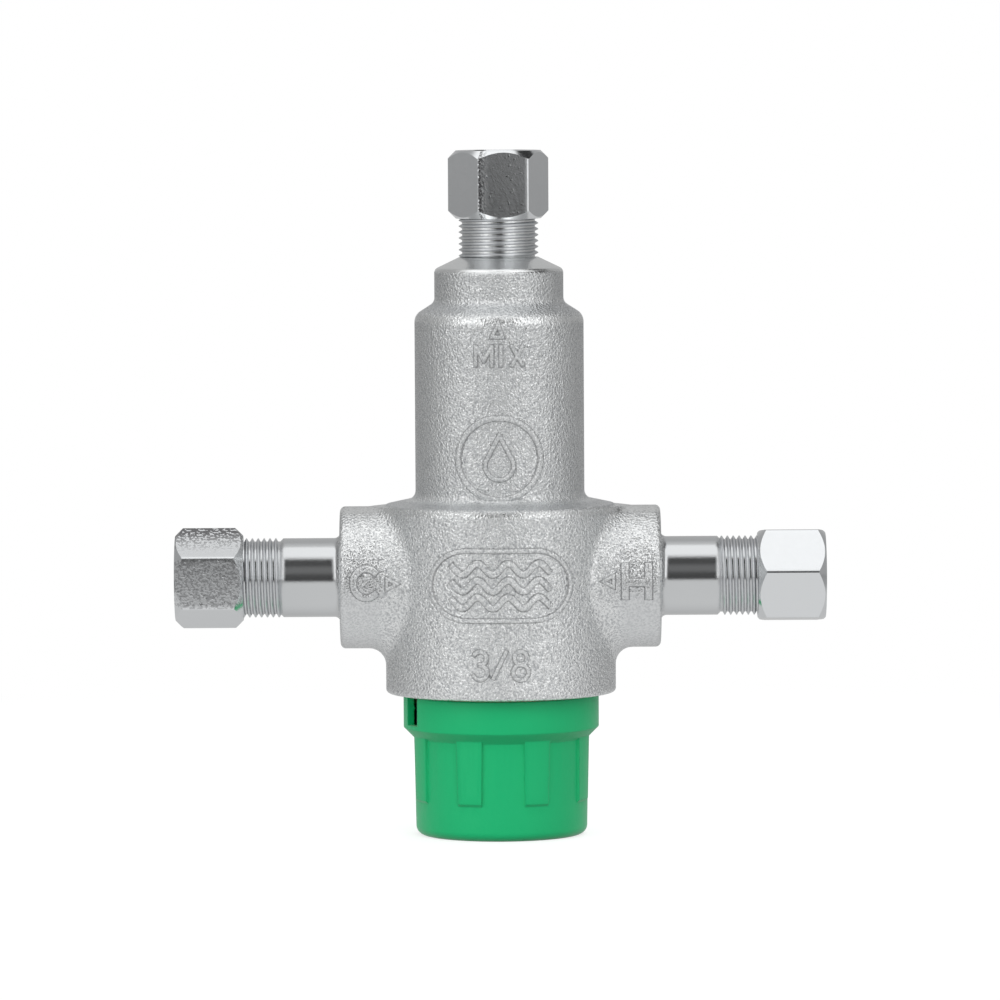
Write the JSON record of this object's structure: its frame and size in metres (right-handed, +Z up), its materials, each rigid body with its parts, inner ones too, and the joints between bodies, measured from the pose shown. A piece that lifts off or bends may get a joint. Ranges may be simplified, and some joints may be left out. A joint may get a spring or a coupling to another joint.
{
  "type": "water mixing valve",
  "caption": "Cast water mixing valve with opposed hot and cold side inlets, a mixed outlet on top, hex compression nuts and a ribbed green adjusting cap at its foot.",
  "frame": {"origin": "centre of the adjusting cap's foot, on the axis of the valve", "axes": "+Z up along the valve's axis to the mixed outlet, +X towards the hot inlet, -Y out of the face that carries the cast marks"},
  "size_m": [0.117, 0.0414, 0.1232],
  "materials": {
    "cast_body": "cast brass under satin nickel plating",
    "plated_nut": "machined and bright plated",
    "green_plastic": "moulded, semi-gloss green",
    "brass": "machined brass",
    "copper": "drawn copper alloy",
    "spring_steel": "drawn stainless steel",
    "pin_steel": "ground stainless steel",
    "screen_steel": "perforated stainless steel",
    "grey_plastic": "moulded engineering plastic",
    "white_plastic": "moulded engineering plastic",
    "rubber": "smooth black rubber"
  },
  "bodies": {
    "valve": {"valve_body": "cast_body", "bonnet": "brass", "bonnet_o_ring": "rubber", "return_spring": "spring_steel", "hot_screen": "screen_steel", "hot_check_housing": "white_plastic", "hot_check_o_ring": "rubber", "hot_check_spring": "spring_steel", "cold_screen": "screen_steel", "cold_check_housing": "white_plastic", "cold_check_o_ring": "rubber", "cold_check_spring": "spring_steel"},
    "spindle": {"spindle": "brass", "spindle_o_ring": "rubber", "spindle_circlip": "spring_steel"},
    "cap": {"adjusting_cap": "green_plastic"},
    "carrier": {"spring_carrier": "brass", "overload_spring": "spring_steel", "plunger": "brass", "plunger_ring": "spring_steel", "element_pin": "pin_steel"},
    "shuttle": {"shuttle": "grey_plastic", "shuttle_o_ring": "rubber", "wax_element": "copper"},
    "hot_poppet": {"hot_check_poppet": "white_plastic"},
    "cold_poppet": {"cold_check_poppet": "white_plastic"},
    "hot_sleeve": {"hot_sleeve": "brass"},
    "hot_nut": {"hot_nut": "plated_nut"},
    "cold_sleeve": {"cold_sleeve": "brass"},
    "cold_nut": {"cold_nut": "plated_nut"},
    "outlet_sleeve": {"outlet_sleeve": "brass"},
    "outlet_nut": {"outlet_nut": "plated_nut"}
  },
  "joints": [
    {"name": "spindle_turn", "type": "hinge", "parent": "valve", "child": "spindle", "pos_m": [0, 0, 0.0128], "axis": [0, 0, 1], "range_deg": [-270, 270]},
    {"name": "cap_pull", "type": "slide", "parent": "spindle", "child": "cap", "axis": [0, 0, -1], "range_m": [0, 0.03]},
    {"name": "carrier_travel", "type": "slide", "parent": "valve", "child": "carrier", "axis": [0, 0, 1], "range_m": [-0.00112, 0.00112]},
    {"name": "shuttle_travel", "type": "slide", "parent": "valve", "child": "shuttle", "axis": [0, 0, 1], "range_m": [-0.0004, 0.0004], "stiffness_N_per_m": 1350, "deforming": ["return_spring"]},
    {"name": "hot_check_travel", "type": "slide", "parent": "valve", "child": "hot_poppet", "axis": [-1, 0, 0], "range_m": [0, 0.0018], "stiffness_N_per_m": 600, "springref_m": -0.0005, "deforming": ["hot_check_spring"]},
    {"name": "cold_check_travel", "type": "slide", "parent": "valve", "child": "cold_poppet", "axis": [1, 0, 0], "range_m": [0, 0.0018], "stiffness_N_per_m": 600, "springref_m": -0.0005, "deforming": ["cold_check_spring"]},
    {"name": "hot_nut_travel", "type": "slide", "parent": "valve", "child": "hot_sleeve", "axis": [1, 0, 0], "range_m": [0, 0.00529]},
    {"name": "hot_nut_turn", "type": "hinge", "parent": "hot_sleeve", "child": "hot_nut", "pos_m": [0.0463, 0, 0.0465], "axis": [1, 0, 0], "range_deg": [0, 1800]},
    {"name": "cold_nut_travel", "type": "slide", "parent": "valve", "child": "cold_sleeve", "axis": [-1, 0, 0], "range_m": [0, 0.00529]},
    {"name": "cold_nut_turn", "type": "hinge", "parent": "cold_sleeve", "child": "cold_nut", "pos_m": [-0.0463, 0, 0.0465], "axis": [-1, 0, 0], "range_deg": [0, 1800]},
    {"name": "outlet_nut_travel", "type": "slide", "parent": "valve", "child": "outlet_sleeve", "axis": [0, 0, 1], "range_m": [0, 0.00529]},
    {"name": "outlet_nut_turn", "type": "hinge", "parent": "outlet_sleeve", "child": "outlet_nut", "pos_m": [0, 0, 0.1171], "axis": [0, 0, 1], "range_deg": [0, 1800]}
  ],
  "couplings": [
    {"joint": "spindle_turn", "follows": "carrier_travel", "rad_per_m": -4188.8},
    {"joint": "hot_nut_turn", "follows": "hot_nut_travel", "rad_per_m": 5936.9},
    {"joint": "cold_nut_turn", "follows": "cold_nut_travel", "rad_per_m": 5936.9},
    {"joint": "outlet_nut_turn", "follows": "outlet_nut_travel", "rad_per_m": 5936.9}
  ]
}
